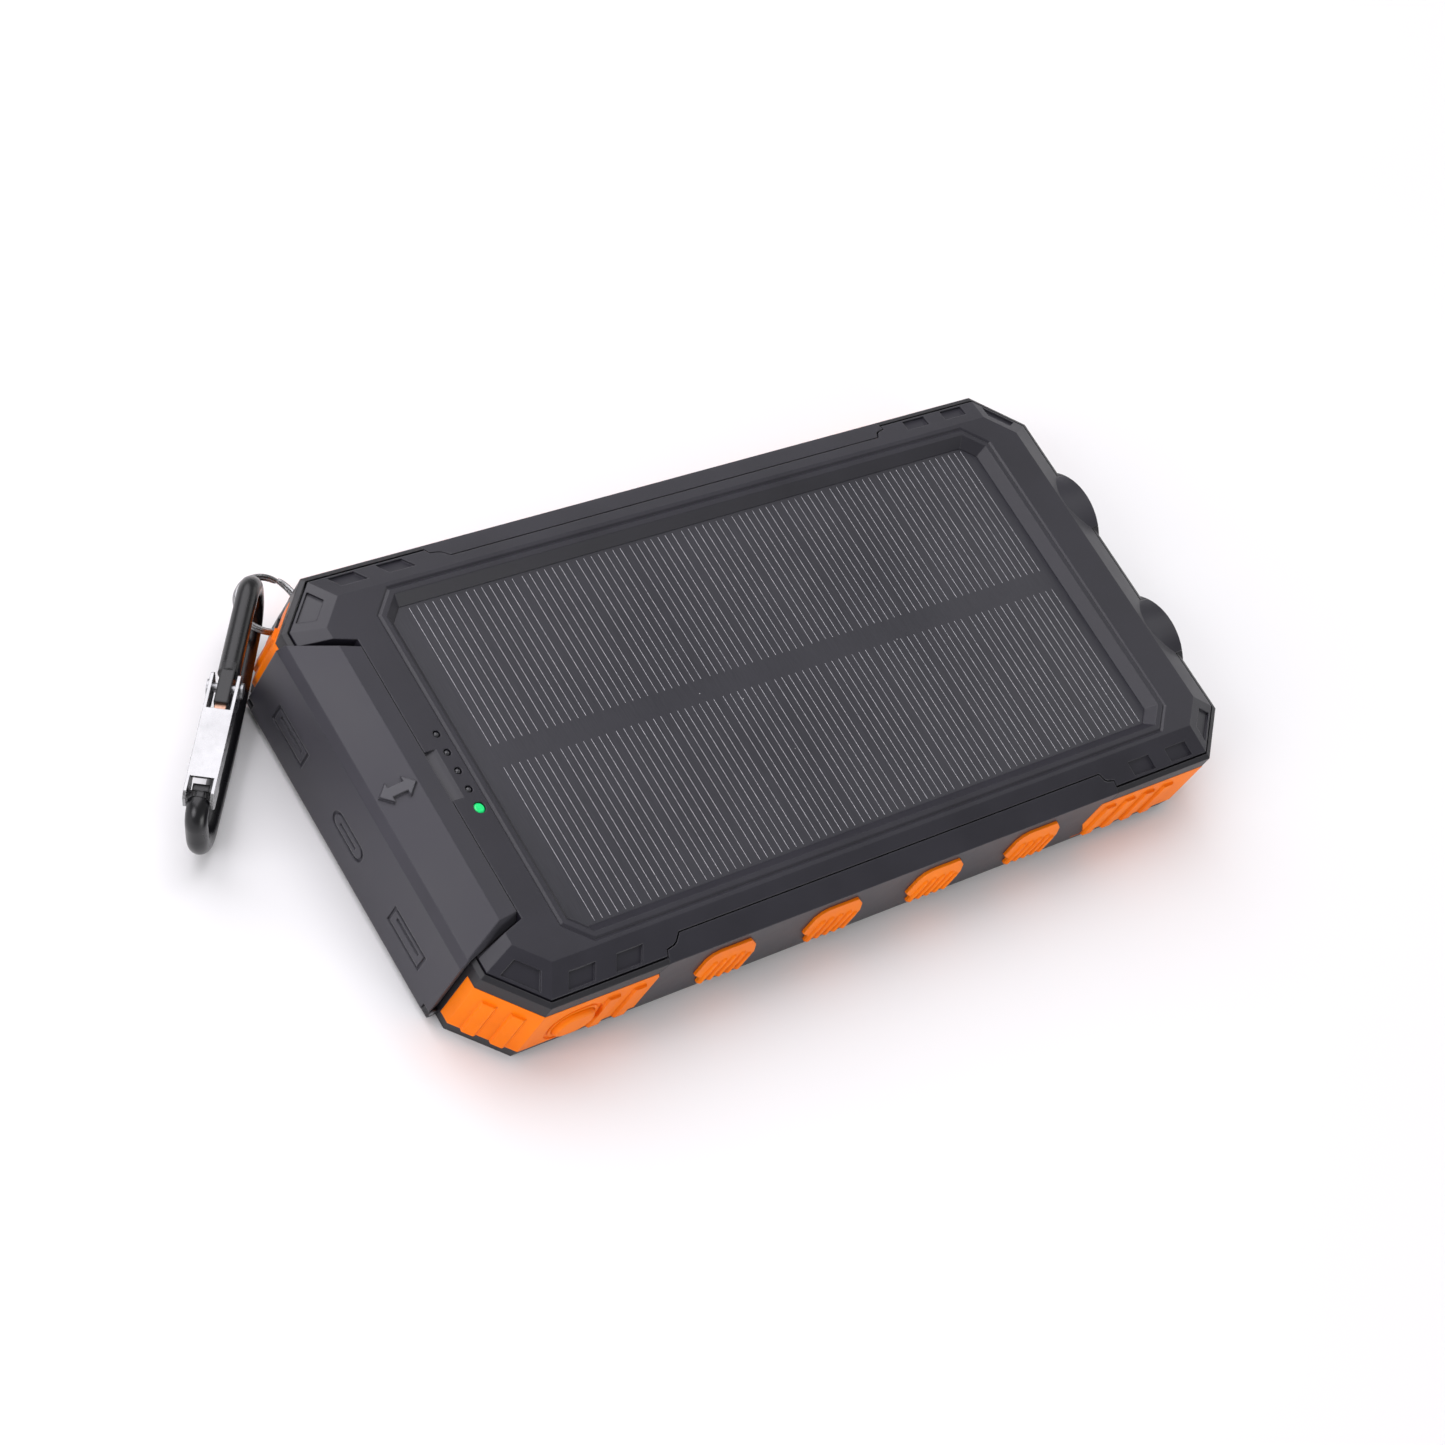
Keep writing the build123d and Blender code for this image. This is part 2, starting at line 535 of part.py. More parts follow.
# ================================================================ corner bumpers
for bumper, (x0, x1, y0, y1) in BUMPER_ZONES.items():
    sign_x = -1 if x0 < 0 else 1
    sign_y = -1 if y0 < 0 else 1
    with BuildPart() as corner_bumper:
        add(bumper_ring(BUMPER_OUT))
        block((x0, y0, 0), (x1, y1, TOP_Z), Mode.INTERSECT)
        # ribs on the chamfer
        leg = CORNER_LEG + LEG_GROWTH * BUMPER_OUT
        middle = (sign_x * (HALF_X + BUMPER_OUT - leg / 2), sign_y * (HALF_Y + BUMPER_OUT - leg / 2))
        across = Plane(origin=(middle[0], middle[1], BUMPER_LOW), x_dir=(sign_x, -sign_y, 0),
                       z_dir=(0, 0, 1))
        for place in (-RIB_PITCH / 2, RIB_PITCH / 2):
            if bumper == "bumper_back_left" and place < 0:
                continue
            with BuildSketch(across) as rib:
                with Locations((place, 0)):
                    Polygon(*RIB_SECTION, align=None)
            extrude(rib.sketch, amount=RIB_HIGH - BUMPER_LOW)
        # ribs on the long side
        if sign_x < 0:
            places = [-54.6, -49.8]
        else:
            places = [48.0 + RIB_PITCH * step for step in range(4)]
        if bumper != "bumper_back_left":
            with BuildSketch(Plane.XY.offset(BUMPER_LOW)) as ribs:
                with Locations(*[(x, sign_y * (HALF_Y + BUMPER_OUT)) for x in places]):
                    Polygon(*RIB_SECTION, align=None)
            extrude(ribs.sketch, amount=RIB_HIGH - BUMPER_LOW)
        # the rail's end and the lanyard's corner
        rail = rail_space(FIT / 2)
        if sign_y > 0:
            rail = mirror(rail, about=Plane.XZ, mode=Mode.PRIVATE)
        add(rail, mode=Mode.SUBTRACT)
        if bumper == "bumper_back_left":
            add(beyond_chamfer_middle(LANYARD_CUT), mode=Mode.SUBTRACT)
            add(lanyard_notch.part, mode=Mode.SUBTRACT)
        if bumper == "bumper_front_left":
            # power button: opening, flange pocket behind it and a shallow groove round it
            for width, height, corner, y_from, y_to in (
                (7.2, 6.2, 2.9, 36, 39),
                (8.6, 7.6, 3.2, 36, HALF_Y + 0.35),
            ):
                with BuildSketch(Plane.XZ.offset(y_from)) as opening:
                    with Locations((BUTTON_X, BUTTON_Z)):
                        RectangleRounded(width, height, corner)
                extrude(opening.sketch, amount=y_to - y_from, mode=Mode.SUBTRACT)
            with BuildSketch(Plane.XZ.offset(HALF_Y + BUMPER_OUT - 0.25)) as groove:
                with Locations((BUTTON_X, BUTTON_Z)):
                    RectangleRounded(9.4, 8.6, 3.9)
                    RectangleRounded(8.2, 7.4, 3.4, mode=Mode.SUBTRACT)
            extrude(groove.sketch, amount=1, mode=Mode.SUBTRACT)
    finish(corner_bumper, bumper)

with BuildPart() as power_button:
    with BuildSketch(Plane.XZ.offset(36.55)) as flange:
        with Locations((BUTTON_X, BUTTON_Z)):
            RectangleRounded(8.2, 7.2, 3.0)
    extrude(flange.sketch, amount=0.35)
    with BuildSketch(Plane.XZ.offset(36.7)) as head:
        with Locations((BUTTON_X, BUTTON_Z)):
            RectangleRounded(7.0, 6.0, 2.8)
    extrude(head.sketch, amount=1.55)
    fillet(power_button.faces().sort_by(Axis.Y)[0].edges(), radius=0.75)
    rod((BUTTON_X, -36.6, BUTTON_Z), (BUTTON_X, -34.70, BUTTON_Z), 1.0)
finish(power_button, "power_button")

# ================================================================ port cover
SIDE_BEVEL_Z = 16.5      # where the cover's sides start to lean in
SIDE_BEVEL_RISE = 2.5

# Narrowing and bevelled sides of the cover.
with BuildPart() as side_limits:
    extrude(cover_plan(COVER_HALF, 0.0), amount=SIDE_BEVEL_Z)
    side_low = cover_plan(COVER_HALF, SIDE_BEVEL_Z)
    side_high = cover_plan(COVER_HALF - 0.6 * SIDE_BEVEL_RISE, SIDE_BEVEL_Z + SIDE_BEVEL_RISE)
    loft([side_low, side_high], ruled=True)

with BuildPart() as port_cover:
    with BuildSketch(Plane.XZ) as profile:
        Polygon(
            (COVER_FACE, HINGE_Z), (COVER_FACE, 15.2), COVER_SHOULDER, COVER_CREST, COVER_EDGE,
            (COVER_EDGE[0], HOOK_Z), (COVER_BACK, HOOK_Z), (COVER_BACK, HINGE_Z), align=None,
        )
        with Locations(((COVER_FACE + COVER_BACK) / 2, HINGE_Z)):
            Circle((COVER_BACK - COVER_FACE) / 2)
    extrude(profile.sketch, amount=30, both=True)
    add(side_limits.part, mode=Mode.INTERSECT)
    # corners cut for the hinge lugs, bore for the pin
    for side in (-1, 1):
        near_y, far_y = sorted((side * (LUG_FROM - 0.12), side * 30))
        block((-80, near_y, 0), (-70, far_y, HINGE_Z + 1.15), Mode.SUBTRACT)
    rod((HINGE_X, -30, HINGE_Z), (HINGE_X, 30, HINGE_Z), PIN_R + RUNNING_FIT, Mode.SUBTRACT)
    # short plugs that reach into the sockets' mouths
    for side in (-1, 1):
        block((COVER_BACK, side * USB_A_Y - 5.5, USB_A_Z - 1.9),
              (COVER_BACK + 1.0, side * USB_A_Y + 5.5, USB_A_Z + 1.9))
    block((COVER_BACK, -3.6, USB_C_Z - 0.8), (COVER_BACK + 1.0, 3.6, USB_C_Z + 0.8))
    # raised double arrow on the band
    band = Plane(
        origin=((COVER_SHOULDER[0] + COVER_CREST[0]) / 2, 0, (COVER_SHOULDER[1] + COVER_CREST[1]) / 2),
        x_dir=(COVER_CREST[0] - COVER_SHOULDER[0], 0, COVER_CREST[1] - COVER_SHOULDER[1]),
        z_dir=(COVER_SHOULDER[1] - COVER_CREST[1], 0, COVER_CREST[0] - COVER_SHOULDER[0]),
    )
    with BuildSketch(band.offset(-0.1)) as arrow:
        Polygon((-3.1, 0), (-1.3, -1.7), (-1.3, -0.8), (1.3, -0.8), (1.3, -1.7), (3.1, 0),
                (1.3, 1.7), (1.3, 0.8), (-1.3, 0.8), (-1.3, 1.7), align=None)
    extrude(arrow.sketch, amount=0.4)
    # plain port pictograms sunk in the outer face
    sign_plane = Plane(origin=(COVER_FACE, 0, 0), x_dir=(0, -1, 0), z_dir=(-1, 0, 0))
    with BuildSketch(sign_plane.offset(-0.3)) as pictograms:
        for side in (-1, 1):
            with Locations((side * USB_A_Y, 7.2)):
                Rectangle(9.0, 3.6)
                Rectangle(8.0, 2.6, mode=Mode.SUBTRACT)
            with Locations((side * USB_A_Y, 7.65)):
                Rectangle(6.2, 0.7)
        with Locations((0, 7.2)):
            SlotOverall(8.4, 3.2)
            SlotOverall(7.4, 2.2, mode=Mode.SUBTRACT)
            Rectangle(4.4, 0.5)
    extrude(pictograms.sketch, amount=1, mode=Mode.SUBTRACT)
finish(port_cover, "port_cover")

with BuildPart() as cover_hinge_pin:
    rod((HINGE_X, -LUG_TO, HINGE_Z), (HINGE_X, LUG_TO, HINGE_Z), PIN_R)
finish(cover_hinge_pin, "cover_hinge_pin")

# ================================================================ solar panel
with BuildPart() as solar_laminate:
    extrude(window_face(LAMINATE_HALF, GLASS_Z - LAMINATE), amount=LAMINATE)
finish(solar_laminate, "solar_laminate")

with BuildPart() as solar_backing_board:
    extrude(window_face(LAMINATE_HALF, LEDGE_Z), amount=BACKING)
finish(solar_backing_board, "solar_backing_board")

# ================================================================ lights
with BuildPart() as light_pipes:
    for step in range(-1, 3):
        y = step * LIGHT_PITCH
        rod((LIGHT_X, y, 6.2), (LIGHT_X, y, TOP_Z - 0.45), LIGHT_R)
        with Locations((LIGHT_X, y, TOP_Z - 0.45)):
            Sphere(LIGHT_R)
        rod((LIGHT_X, y, LEDGE_Z - 0.6), (LIGHT_X, y, LEDGE_Z), LIGHT_R + 0.45)
finish(light_pipes, "light_pipes")

with BuildPart() as power_light_pipe:
    y = -2 * LIGHT_PITCH
    rod((LIGHT_X, y, 6.2), (LIGHT_X, y, TOP_Z - 0.1), POWER_LIGHT_R)
    fillet(power_light_pipe.faces().sort_by(Axis.Z)[-1].edges(), radius=0.35)
    rod((LIGHT_X, y, LEDGE_Z - 0.6), (LIGHT_X, y, LEDGE_Z), POWER_LIGHT_R + 0.4)
finish(power_light_pipe, "power_light_pipe")

with BuildPart() as indicator_lamps:
    for step in range(-2, 3):
        y = step * LIGHT_PITCH
        block((LIGHT_X - 0.8, y - 0.6, BOARD_TOP), (LIGHT_X + 0.8, y + 0.6, BOARD_TOP + 0.9))
finish(indicator_lamps, "indicator_lamps")

# ================================================================ main board
with BuildPart() as main_board:
    block((BOARD_X[0], -BOARD_HALF_Y, BOARD_Z), (BOARD_X[1], BOARD_HALF_Y, BOARD_TOP))
    left_corners = main_board.edges().filter_by(Axis.Z).group_by(Axis.X)[0]
    chamfer(left_corners, length=7.4)
    # room beside the case screws' bosses
    for y in (-32.9, 32.9):
        rod((-52.2, y, 0), (-52.2, y, 10), 2.8, Mode.SUBTRACT)
finish(main_board, "main_board")

for number, side in ((1, -1), (2, 1)):
    with BuildPart() as usb_a_port:
        length, width, height = USB_A_SIZE
        y = side * USB_A_Y
        block((PORT_FACE, y - width / 2, USB_A_Z - height / 2),
              (PORT_FACE + length, y + width / 2, USB_A_Z + height / 2))
        block((PORT_FACE - 1, y - width / 2 + 0.35, USB_A_Z - height / 2 + 0.35),
              (PORT_FACE + length - 0.5, y + width / 2 - 0.35, USB_A_Z + height / 2 - 0.35),
              Mode.SUBTRACT)
        # legs to the board
        for foot_x in (PORT_FACE + 3, PORT_FACE + length - 3):
            block((foot_x, y - width / 2, BOARD_TOP), (foot_x + 1.5, y + width / 2, USB_A_Z - 2.8))
    finish(usb_a_port, "usb_a_port_" + str(number))

with BuildPart() as usb_a_tongues:
    for side in (-1, 1):
        y = side * USB_A_Y
        block((PORT_FACE + 1.2, y - 5.7, USB_A_Z + 0.55), (PORT_FACE + 13.5, y + 5.7, USB_A_Z + 2.3))
finish(usb_a_tongues, "usb_a_tongues")

with BuildPart() as usb_c_port:
    length, width, height = USB_C_SIZE
    with BuildSketch(Plane.YZ.offset(PORT_FACE)) as mouth:
        with Locations((0, USB_C_Z)):
            SlotOverall(width, height)
            SlotOverall(width - 0.7, height - 0.7, mode=Mode.SUBTRACT)
    extrude(mouth.sketch, amount=length)
    with BuildSketch(Plane.YZ.offset(PORT_FACE + length - 0.5)) as back_plate:
        with Locations((0, USB_C_Z)):
            SlotOverall(width, height)
    extrude(back_plate.sketch, amount=0.5)
    block((PORT_FACE + 3.2, -3, BOARD_TOP), (PORT_FACE + 6.2, 3, USB_C_Z - height / 2 + 0.2))
finish(usb_c_port, "usb_c_port")

with BuildPart() as usb_c_tongue:
    block((PORT_FACE + 0.7, -3.3, USB_C_Z - 0.35), (PORT_FACE + 6.9, 3.3, USB_C_Z + 0.35))
finish(usb_c_tongue, "usb_c_tongue")

CHIPS = [
    (-57.4, 10.5, 5.0, 5.0, 0.9), (-57.4, 3.0, 4.0, 4.0, 0.9), (-57.4, -4.5, 3.0, 3.0, 1.1),
    (-57.4, -11.5, 4.9, 6.0, 1.5), (-57.4, -18.5, 4.9, 6.0, 1.5), (-66.0, 7.7, 2.0, 3.2, 1.0),
]
with BuildPart() as board_chips:
    for x, y, size_x, size_y, tall in CHIPS:
        block((x - size_x / 2, y - size_y / 2, BOARD_TOP), (x + size_x / 2, y + size_y / 2, BOARD_TOP + tall))
finish(board_chips, "board_chips")

with BuildPart() as power_inductor:
    block((-60.4, 16.5, BOARD_TOP), (-54.6, 22.3, BOARD_TOP + 4.2))
    fillet(power_inductor.edges().filter_by(Axis.Z), radius=1.0)
finish(power_inductor, "power_inductor")

with BuildPart() as capacitors:
    for y in (26.6, -24.6):
        rod((-57.4, y, BOARD_TOP), (-57.4, y, BOARD_TOP + 5.4), 2.0)
finish(capacitors, "capacitors")

with BuildPart() as side_switch:
    block((BUTTON_X - 3.0, -33.9, BOARD_TOP), (BUTTON_X + 3.0, -30.4, BUTTON_Z + 1.7))
    rod((BUTTON_X, -34, BUTTON_Z), (BUTTON_X, -32.4, BUTTON_Z), 0.85, Mode.SUBTRACT)
finish(side_switch, "side_switch")

with BuildPart() as switch_plunger:
    rod((BUTTON_X, -34.66, BUTTON_Z), (BUTTON_X, -33.0, BUTTON_Z), 0.8)
finish(switch_plunger, "switch_plunger")

# ================================================================ battery
for label, side in (("front", -1), ("back", 1)):
    with BuildPart() as battery_cell:
        length, width, height = CELL_SIZE
        low_y, high_y = sorted((side * 0.9, side * (0.9 + width)))
        block((CELL_X - length / 2, low_y, CELL_LOW), (CELL_X + length / 2, high_y, CELL_LOW + height))
        fillet(battery_cell.edges().filter_by(Axis.X), radius=2.2)
    finish(battery_cell, "battery_cell_" + label)

with BuildPart() as battery_foam_pads:
    for side in (-1, 1):
        for x in (CELL_X - 30, CELL_X + 30):
            y = side * 17.6
            block((x - 18, y - 11, FLOOR_Z), (x + 18, y + 11, CELL_LOW))
            block((x - 18, y - 11, CELL_LOW + CELL_SIZE[2]), (x + 18, y + 11, LEDGE_Z))
finish(battery_foam_pads, "battery_foam_pads")

with BuildPart() as cell_tabs:
    for y in (-24, -10, 10, 24):
        block((CELL_X - CELL_SIZE[0] / 2 - 1.3, y - 2, 7.3), (CELL_X - CELL_SIZE[0] / 2, y + 2, 7.5))
finish(cell_tabs, "cell_tabs")

with BuildPart() as protection_board:
    block((-51.3, -27, 3.4), (-50.3, 27, 11.6))
    block((-52.4, -12, 5.4), (-51.3, -8, 9.4))
    block((-52.4, 8, 5.4), (-51.3, 12, 9.4))
finish(protection_board, "protection_board")

with BuildPart() as battery_leads:
    for y in (-2.2, 0.0):
        add(tube([(-51.3, y, 9.6), (-53.4, y, 9.6), (-55.0, y, 8.2), (-55.0, y, BOARD_TOP)],
                 [1.2, 1.0], 0.55))
finish(battery_leads, "battery_leads")

with BuildPart() as torch_leads:
    for z in (4.4, 6.4):
        rod((-50.3, 0, z), (60.5, 0, z), 0.45)
finish(torch_leads, "torch_leads")

# ================================================================ torches
with BuildPart() as torch_board:
    block((60.5, -22, 2.2), (61.7, 22, 14.2))
finish(torch_board, "torch_board")

with BuildPart() as torch_lamps:
    for side in (-1, 1):
        y = side * TORCH_Y
        block((61.7, y - 2.5, TORCH_Z - 2.5), (62.5, y + 2.5, TORCH_Z + 2.5))
        with Locations((62.5, y, TORCH_Z)):
            Sphere(1.7)
        block((60.6, y - 2, TORCH_Z - 2), (61.7, y + 2, TORCH_Z + 2), Mode.SUBTRACT)
finish(torch_lamps, "torch_lamps")

REFLECTOR = [(62.6, 2.2), (65.0, 4.1), (68.0, 5.7), (71.2, 6.6), (71.2, LENS_R), (70.6, LENS_R),
             (67.6, 6.2), (64.6, 4.6), (62.6, 2.9)]
LENS = [(71.2, 0), (72.6, 0), (72.3, 3.4), (71.9, 5.4), (71.9, LENS_R), (71.2, LENS_R)]
BEZEL = [(70.6, LENS_R), (72.0, LENS_R), (72.0, 6.8), (74.6, 6.8), (76.2, 7.2), (76.2, 7.55),
         (70.6, 7.55)]
for label, side in (("front", -1), ("back", 1)):
    for piece_name, piece_profile in (("reflector", REFLECTOR), ("lens", LENS), ("bezel", BEZEL)):
        with BuildPart() as torch_piece:
            add(turned(piece_profile, side * TORCH_Y))
        finish(torch_piece, "torch_" + piece_name + "_" + label)

# ================================================================ case screws
with BuildPart() as case_screws:
    for x, y in SCREWS:
        rod((x, y, SCREW_HEAD_Z - 1.5), (x, y, SCREW_HEAD_Z), 1.9)
        rod((x, y, SCREW_HEAD_Z), (x, y, 13.2), 1.0)
        for turn in (0, 90):
            with BuildSketch(Plane.XY.offset(SCREW_HEAD_Z - 1.5)) as recess:
                with Locations(Location((x, y, 0), (0, 0, turn))):
                    Rectangle(2.2, 0.5)
            extrude(recess.sketch, amount=0.8, mode=Mode.SUBTRACT)
finish(case_screws, "case_screws")

# ================================================================ lanyard
with BuildPart() as lanyard_post:
    rod((*POST, 4.0), (*POST, 11.0), POST_R)
finish(lanyard_post, "lanyard_post")

with BuildPart() as split_ring:
    for lift in (-0.95 * WIRE_R, 0.95 * WIRE_R):
        with Locations((*RING_CENTRE, RING_Z + lift)):
            Torus(RING_R, WIRE_R)
finish(split_ring, "split_ring")

along_clip = Vector(
    cos(CLIP_YAW) * cos(CLIP_PITCH), sin(CLIP_YAW) * cos(CLIP_PITCH), sin(CLIP_PITCH)
)
level_side = Vector(-sin(CLIP_YAW), cos(CLIP_YAW), 0)
clip_side = level_side * cos(CLIP_ROLL) + along_clip.cross(level_side) * sin(CLIP_ROLL)
CLIP = Plane(origin=CLIP_ORIGIN, x_dir=along_clip, z_dir=clip_side)


def clip_slab(points, low, high, mode=Mode.ADD):
    """Polygon in the carabiner's (u, v) plane, thickened between two levels across it."""
    extrude(outline(points, CLIP.offset(low)), amount=high - low, mode=mode)


def clip_box(u0, u1, v0, v1, low, high, mode=Mode.ADD):
    """Box in the carabiner's own directions."""
    clip_slab([(u0, v0), (u1, v0), (u1, v1), (u0, v1)], low, high, mode)


def clip_pin(u, v, low, high, radius, mode=Mode.ADD):
    """Cylinder across the carabiner."""
    with BuildSketch(CLIP.offset(low)) as disc:
        with Locations((u, v)):
            Circle(radius)
    extrude(disc.sketch, amount=high - low, mode=mode)


with BuildPart() as carabiner_body:
    far_u = CLIP_LENGTH - ROD_R
    corners = [(19.8, 0), (ROD_R, 0), (ROD_R, CLIP_SHOULDER), (25.2, CLIP_DEPTH)]
    corners += [(far_u, CLIP_DEPTH - 1.2), (far_u, 0), (42.0, 0)]
    with BuildLine(CLIP) as rod_line:
        FilletPolyline(*corners, radius=[4.0, 4.4, 60.0, 6.0, 2.1])
    with BuildSketch(Plane(origin=rod_line.line @ 0, z_dir=rod_line.line % 0)) as rod_face:
        Circle(ROD_R)
    sweep(rod_face.sketch, path=rod_line.line)
    # flattened tongue that the gate turns on, with the pusher's bore
    clip_box(18.5, 25.6, -1.4, 1.4, -1.0, 1.0)
    clip_pin(PIVOT_U, 0, -2, 2, 0.75, Mode.SUBTRACT)
    # nose: a stem with a crossbar that the gate closes on
    clip_box(40.4, 43.2, -0.75, 0.75, -0.6, 0.6)
    clip_box(NOSE_U, 40.6, -0.9, 0.9, -1.2, 1.2)
finish(carabiner_body, "carabiner_body")

with BuildPart() as carabiner_gate:
    flange = [(20.7, -GATE_HALF + 0.6), (21.3, -GATE_HALF), (GATE_TIP - 0.8, -GATE_HALF)]
    flange += [(GATE_TIP, -1.2), (GATE_TIP, 0.6), (GATE_TIP - 0.7, 1.3), (39.0, 1.35)]
    flange += [(38.0, 0.7), (26.0, 0.7), (24.4, 1.6), (21.3, 1.6), (20.7, 0.9)]
    for low in (-GATE_HALF, GATE_HALF - SHEET):
        clip_slab(flange, low, low + SHEET)
    clip_box(27.3, 39.1, -GATE_HALF, SHEET - GATE_HALF, -GATE_HALF, GATE_HALF)
    # inner lips that rest on the nose's crossbar
    for side in (-1, 1):
        low, high = sorted((side * 0.8, side * GATE_HALF))
        clip_box(39.4, 40.6, 1.0, 1.35, low, high)
    clip_pin(PIVOT_U, 0, -3, 3, 0.75, Mode.SUBTRACT)
finish(carabiner_gate, "carabiner_gate")

with BuildPart() as gate_rivet:
    clip_pin(PIVOT_U, 0, -GATE_HALF - 0.45, GATE_HALF + 0.45, 0.7)
    for low in (-GATE_HALF - 0.45, GATE_HALF + 0.05):
        clip_pin(PIVOT_U, 0, low, low + 0.4, 1.15)
finish(gate_rivet, "gate_rivet")

with BuildPart() as gate_pusher:
    clip_box(25.6, 26.9, -0.9, 0.7, -0.8, 0.8)
finish(gate_pusher, "gate_pusher")
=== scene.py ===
import json
import math

import bpy
from mathutils import Matrix, Vector


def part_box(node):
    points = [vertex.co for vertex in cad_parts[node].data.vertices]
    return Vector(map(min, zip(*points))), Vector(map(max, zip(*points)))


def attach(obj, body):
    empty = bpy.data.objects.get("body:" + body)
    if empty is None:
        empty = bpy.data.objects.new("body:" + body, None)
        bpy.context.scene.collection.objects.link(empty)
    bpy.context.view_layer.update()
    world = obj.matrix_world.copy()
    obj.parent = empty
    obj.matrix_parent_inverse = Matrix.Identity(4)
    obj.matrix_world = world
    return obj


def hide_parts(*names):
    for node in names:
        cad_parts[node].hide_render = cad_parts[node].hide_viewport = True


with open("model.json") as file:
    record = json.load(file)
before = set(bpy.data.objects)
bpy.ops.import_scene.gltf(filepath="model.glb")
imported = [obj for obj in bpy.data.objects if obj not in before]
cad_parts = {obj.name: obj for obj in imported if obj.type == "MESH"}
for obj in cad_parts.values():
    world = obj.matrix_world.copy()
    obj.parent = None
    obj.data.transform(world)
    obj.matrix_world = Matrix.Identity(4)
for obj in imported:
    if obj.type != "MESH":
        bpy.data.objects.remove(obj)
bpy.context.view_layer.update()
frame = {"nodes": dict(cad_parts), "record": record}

MM = 0.001
NODES = frame["nodes"]

# ---------------------------------------------------------------- the view
CAMERA_PLACE = Vector((-0.32985, -0.15825, 0.40135))
CAMERA_RIGHT = Vector((0.757, -0.504, 0.417))
CAMERA_UP = Vector((0.250, 0.812, 0.527))
LENS = 85.96
SENSOR = 36.0

# ---------------------------------------------------------------- solar lines
LINE_GROUPS = 11
LINES_IN_GROUP = 7
GROUP_PITCH = 10.45 * MM
LINE_PITCH = 1.43 * MM
FIRST_LINE = 4.9 * MM      # from the glass's left edge
LINE_WIDTH = 0.08 * MM
LINE_CROWN = 0.6           # width of a line's top, as a part of its foot's
LINE_RAISE = 0.015 * MM    # above the glass, and as much into it
BAND_LOW = -1.0 * MM       # plain band across the middle
BAND_HIGH = 2.8 * MM
LINE_MARGIN = 1.6 * MM     # from the laminate's edge to the end of a line

# ---------------------------------------------------------------- cover arrow
ARROW_FROM_FACE = 4.15 * MM
ARROW_BELOW_TOP = 1.0 * MM
ARROW_SLOPE = (6.5, 0, 2.0)  # direction of the cover's sloped band
ARROW_FOOT = 0.2 * MM
ARROW_FOOT_SCALE = 0.97
ARROW_CROWN = 0.33 * MM
ARROW_CROWN_SCALE = 0.93
ARROW_TIP = 3.1 * MM       # from the centre to each point
ARROW_NECK = 1.3 * MM      # from the centre to the back of each head
ARROW_HEAD_HALF = 1.7 * MM
ARROW_STEM_HALF = 0.8 * MM

# ---------------------------------------------------------------- split ring
RING_TURNS = 2.0
RING_STEPS = 96            # points in each turn
RING_START = 0.12          # turn at which the wire starts
CROSSING_START = 0.92      # turn at which the wire crosses to the second turn
CROSSING_LENGTH = 0.16
STACKED_WIRES = 1.95       # height of the two touching turns, in wires
COIL_WIRE_SCALE = 0.97     # keeps the coil just inside its solid
WIRE_SIDES = 14

# ---------------------------------------------------------------- studio
FLOOR_HALF_SIDE = 3.0
FLOOR_BELOW = 0.05 * MM    # just under the case, so that the two don't share a plane
LIGHT_TARGET = (0, 0, 0.01)
STUDIO_WHITE = (0.975, 0.955, 1.0)
PLAIN_WHITE = (1, 1, 1)
WORLD_STRENGTH = 0.36


# ================================================================ shader helpers
# sockets of the Mix node that its colour mode uses; several share a name
MIX_FACTOR = 0
MIX_COLOR_A = 6
MIX_COLOR_B = 7
MIX_COLOR_RESULT = 2


def add_node(tree, kind, inputs=None, **settings):
    """One shader node, with its settings and its inputs as values or sockets."""
    made = tree.nodes.new("ShaderNode" + kind)
    for key, value in settings.items():
        setattr(made, key, value)
    for key, value in (inputs or {}).items():
        if isinstance(value, bpy.types.NodeSocket):
            tree.links.new(value, made.inputs[key])
        else:
            made.inputs[key].default_value = value
    return made


def rgba(color):
    return (*color, 1.0)


def new_material(name, color, roughness, **sockets):
    """A material with its Principled shader set, and the shader and tree to build on."""
    material = bpy.data.materials.new(name)
    material.use_nodes = True
    tree = material.node_tree
    shader = tree.nodes["Principled BSDF"]
    shader.inputs["Base Color"].default_value = rgba(color)
    shader.inputs["Roughness"].default_value = roughness
    for key, value in sockets.items():
        shader.inputs[key.replace("_", " ")].default_value = value
    return material, tree, shader


def mix_color(tree, factor, low, high):
    """Colour mixed from low to high; either may be a colour or a socket."""
    ends = {}
    for index, value in ((MIX_COLOR_A, low), (MIX_COLOR_B, high)):
        ends[index] = value if isinstance(value, bpy.types.NodeSocket) else rgba(value)
    mixer = add_node(tree, "Mix", {MIX_FACTOR: factor, **ends}, data_type="RGBA")
    return mixer.outputs[MIX_COLOR_RESULT]


def ranged(tree, value, low, high, to_low, to_high):
    """A value mapped from one range to another, clamped."""
    mapped = add_node(
        tree, "MapRange",
        {"Value": value, "From Min": low, "From Max": high, "To Min": to_low, "To Max": to_high},
    )
    return mapped.outputs["Result"]


def noise(tree, coords, scale, detail=2.0, rough=0.5):
    """Fractal noise, from 0 to 1."""
    made = add_node(tree, "TexNoise", {"Vector": coords, "Scale": scale, "Detail": detail,
                                       "Roughness": rough})
    return made.outputs["Fac"]


def object_coords(tree):
    return add_node(tree, "TexCoord").outputs["Object"]


def stretched_coords(tree, scale):
    """Object coordinates scaled along each axis, for brushed and drawn textures."""
    mapping = add_node(tree, "Mapping", {"Vector": object_coords(tree), "Scale": scale})
    return mapping.outputs["Vector"]


